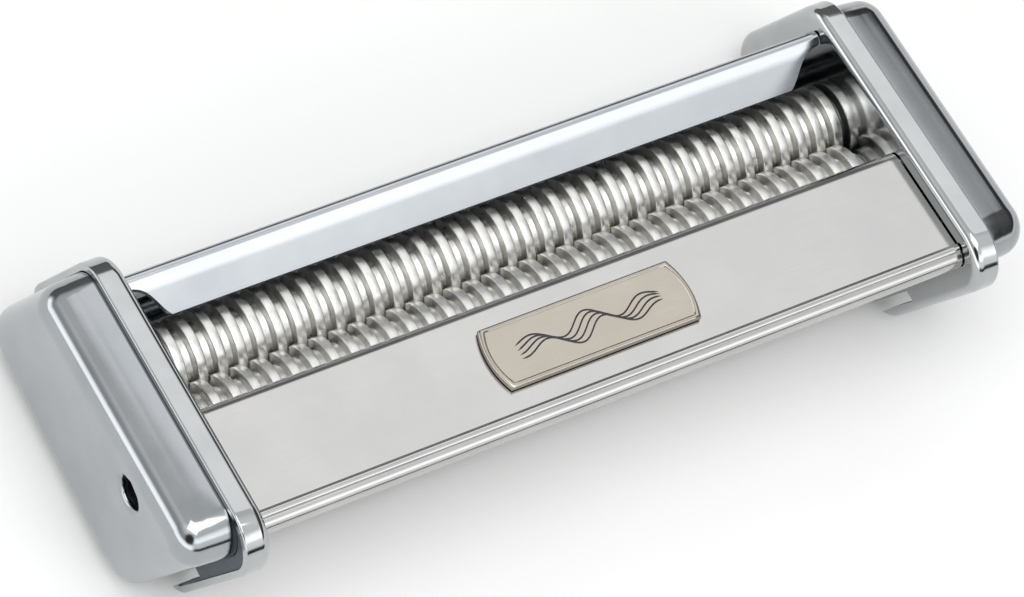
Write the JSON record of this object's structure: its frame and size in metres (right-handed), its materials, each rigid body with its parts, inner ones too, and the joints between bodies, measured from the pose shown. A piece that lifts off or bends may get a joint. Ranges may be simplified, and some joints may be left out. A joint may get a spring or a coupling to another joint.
{
  "type": "pasta cutter attachment",
  "caption": "Chromed pasta cutter attachment: a long slot over two meshing ringed rollers between deep end caps, with a crank socket in one cap and a slide slot under each side plate.",
  "frame": {"origin": "middle of the base, on the plane of the side plates' flat back rims", "axes": "+X along the cutting rollers away from the crank end, +Y to the rear wall of the feed slot, +Z out of the working face"},
  "size_m": [0.1828, 0.075, 0.0442],
  "materials": {
    "bright_steel": "polished chrome on pressed steel",
    "chrome_cap": "soft polished chrome",
    "satin_chrome_sheet": "satin chrome sheet",
    "bright_chrome_sheet": "bright chrome sheet",
    "badge_nickel": "warm satin nickel with a polished bevel",
    "pad_rubber": "black adhesive pad",
    "tray_plastic": "dark blue-grey moulded plastic",
    "comb_steel": "stamped spring steel",
    "rod_steel": "bright drawn steel",
    "screw_steel": "zinc plated",
    "bush_bronze": "sintered bronze",
    "roller_nickel": "turned and nickel plated",
    "gear_steel": "hobbed steel",
    "socket_steel": "turned steel",
    "clip_steel": "black spring steel",
    "washer_plastic": "white acetal"
  },
  "bodies": {
    "frame": {"left_side_plate": "bright_steel", "right_side_plate": "bright_steel", "left_gear_tray": "tray_plastic", "right_bearing_tray": "tray_plastic", "left_end_cap": "chrome_cap", "right_end_cap": "chrome_cap", "front_cover": "satin_chrome_sheet", "rear_cover": "bright_chrome_sheet", "badge_pad": "pad_rubber", "badge_plate": "badge_nickel", "upper_comb": "comb_steel", "lower_comb": "comb_steel", "rear_tie_rod": "rod_steel", "front_tie_rod": "rod_steel", "base_tie_rod": "rod_steel", "left_tie_screws": "screw_steel", "right_tie_screws": "screw_steel", "left_cap_screws": "screw_steel", "right_cap_screws": "screw_steel", "upper_left_bush": "bush_bronze", "upper_right_bush": "bush_bronze", "lower_left_bush": "bush_bronze", "lower_right_bush": "bush_bronze", "drive_bush": "bush_bronze"},
    "lower_cutter": {"lower_roller": "roller_nickel", "lower_gear": "gear_steel", "lower_gear_clip": "clip_steel", "lower_end_clip": "clip_steel", "lower_thrust_washers": "washer_plastic"},
    "upper_cutter": {"upper_roller": "roller_nickel", "upper_gear": "gear_steel", "upper_gear_clip": "clip_steel", "upper_end_clip": "clip_steel", "upper_thrust_washers": "washer_plastic"},
    "crank_drive": {"crank_socket": "socket_steel", "drive_gear": "gear_steel"}
  },
  "joints": [
    {"name": "lower_cutter_spin", "type": "hinge", "parent": "frame", "child": "lower_cutter", "pos_m": [0, -0.00367, 0.02106], "axis": [1, 0, 0], "continuous": true},
    {"name": "upper_cutter_spin", "type": "hinge", "parent": "frame", "child": "upper_cutter", "pos_m": [0, 0.01044, 0.0195], "axis": [1, 0, 0], "continuous": true},
    {"name": "crank_spin", "type": "hinge", "parent": "frame", "child": "crank_drive", "pos_m": [-0.084, -0.01419, 0.0306], "axis": [1, 0, 0], "continuous": true}
  ],
  "couplings": [
    {"joint": "upper_cutter_spin", "follows": "lower_cutter_spin", "ratio": -1},
    {"joint": "crank_spin", "follows": "lower_cutter_spin", "ratio": -1}
  ]
}
